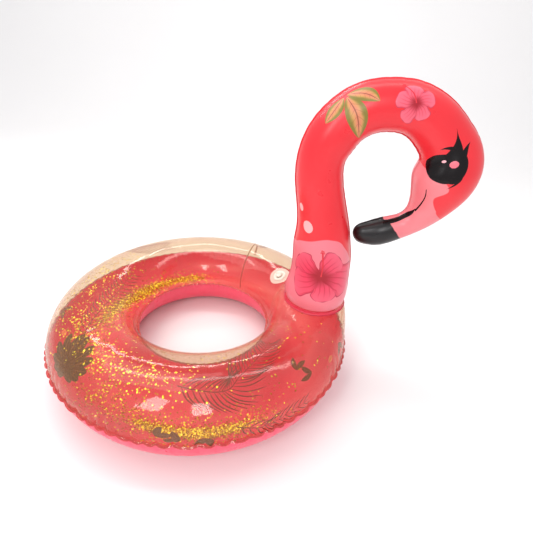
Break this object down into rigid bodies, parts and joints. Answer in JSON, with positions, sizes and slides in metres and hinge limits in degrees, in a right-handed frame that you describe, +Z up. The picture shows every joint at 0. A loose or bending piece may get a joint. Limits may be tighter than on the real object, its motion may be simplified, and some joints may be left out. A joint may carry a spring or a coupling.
{
  "type": "inflatable swim ring",
  "caption": "Inflatable swim ring with a clear upper film, printed leaves and loose glitter inside, and an upright flamingo neck and head with air valves.",
  "frame": {"origin": "on the floor under the middle of the float's outline, seen from above", "axes": "+Z up, +X the way the bird looks, ring seams parallel to the floor"},
  "size_m": [0.9762, 0.77, 0.7217],
  "materials": {
    "clear_film": "clear glossy vinyl film printed inside with leaves, slightly wrinkled at the seams",
    "pink_film": "opaque pink vinyl film, glossy",
    "coral_film": "opaque coral vinyl film with printed flowers, face and beak",
    "collar_film": "dark coral vinyl weld band",
    "valve_vinyl": "soft clear moulded vinyl",
    "glitter": "loose gold metallised flakes"
  },
  "bodies": {
    "ring": {"ring_top_panel": "clear_film", "ring_bottom_panel": "pink_film", "ring_glitter_front": "glitter", "ring_glitter_rear": "glitter", "ring_valve_patch": "valve_vinyl", "ring_valve_flange": "valve_vinyl", "ring_valve_skirt": "valve_vinyl", "neck_collar": "collar_film"},
    "neck": {"neck_foot_panel": "coral_film", "neck_right_panel": "coral_film", "neck_left_panel": "coral_film", "neck_valve_patch": "valve_vinyl", "neck_valve_flange": "valve_vinyl", "neck_valve_skirt": "valve_vinyl"},
    "ring_valve_stem": {"ring_valve_stem": "valve_vinyl", "ring_valve_strap": "valve_vinyl"},
    "ring_valve_plug": {"ring_valve_plug": "valve_vinyl"},
    "ring_valve_flap": {"ring_valve_flap": "valve_vinyl"},
    "neck_valve_stem": {"neck_valve_stem": "valve_vinyl", "neck_valve_strap": "valve_vinyl"},
    "neck_valve_plug": {"neck_valve_plug": "valve_vinyl"},
    "neck_valve_flap": {"neck_valve_flap": "valve_vinyl"}
  },
  "joints": [
    {"name": "neck_sway", "type": "hinge", "parent": "ring", "child": "neck", "pos_m": [0.18493, 0, 0.2015], "axis": [0, 1, 0], "range_deg": [-6, 6], "stiffness_Nm_per_rad": 20, "deforming": ["neck_collar"]},
    {"name": "ring_valve_stem_slide", "type": "slide", "parent": "ring", "child": "ring_valve_stem", "axis": [-0.3858, -0.2228, 0.8953], "range_m": [0, 0.012], "deforming": ["ring_valve_skirt"]},
    {"name": "ring_valve_plug_slide", "type": "slide", "parent": "ring_valve_stem", "child": "ring_valve_plug", "axis": [-0.3858, -0.2228, 0.8953], "range_m": [0, 0.014], "deforming": ["ring_valve_strap"]},
    {"name": "ring_valve_flap_hinge", "type": "hinge", "parent": "ring_valve_stem", "child": "ring_valve_flap", "pos_m": [0.10416, 0.11249, 0.17036], "axis": [-0.7753, -0.4477, -0.4455], "range_deg": [0, 40], "stiffness_Nm_per_rad": 0.002, "springref_deg": -2.86},
    {"name": "neck_valve_stem_slide", "type": "slide", "parent": "neck", "child": "neck_valve_stem", "axis": [-0.0021, 0.9964, 0.0843], "range_m": [0, 0.012], "deforming": ["neck_valve_skirt"]},
    {"name": "neck_valve_plug_slide", "type": "slide", "parent": "neck_valve_stem", "child": "neck_valve_plug", "axis": [-0.0021, 0.9964, 0.0843], "range_m": [0, 0.014], "deforming": ["neck_valve_strap"]},
    {"name": "neck_valve_flap_hinge", "type": "hinge", "parent": "neck_valve_stem", "child": "neck_valve_flap", "pos_m": [0.18338, 0.04555, 0.34619], "axis": [0.9907, -0.0094, 0.136], "range_deg": [0, 40], "stiffness_Nm_per_rad": 0.002, "springref_deg": -2.86}
  ]
}
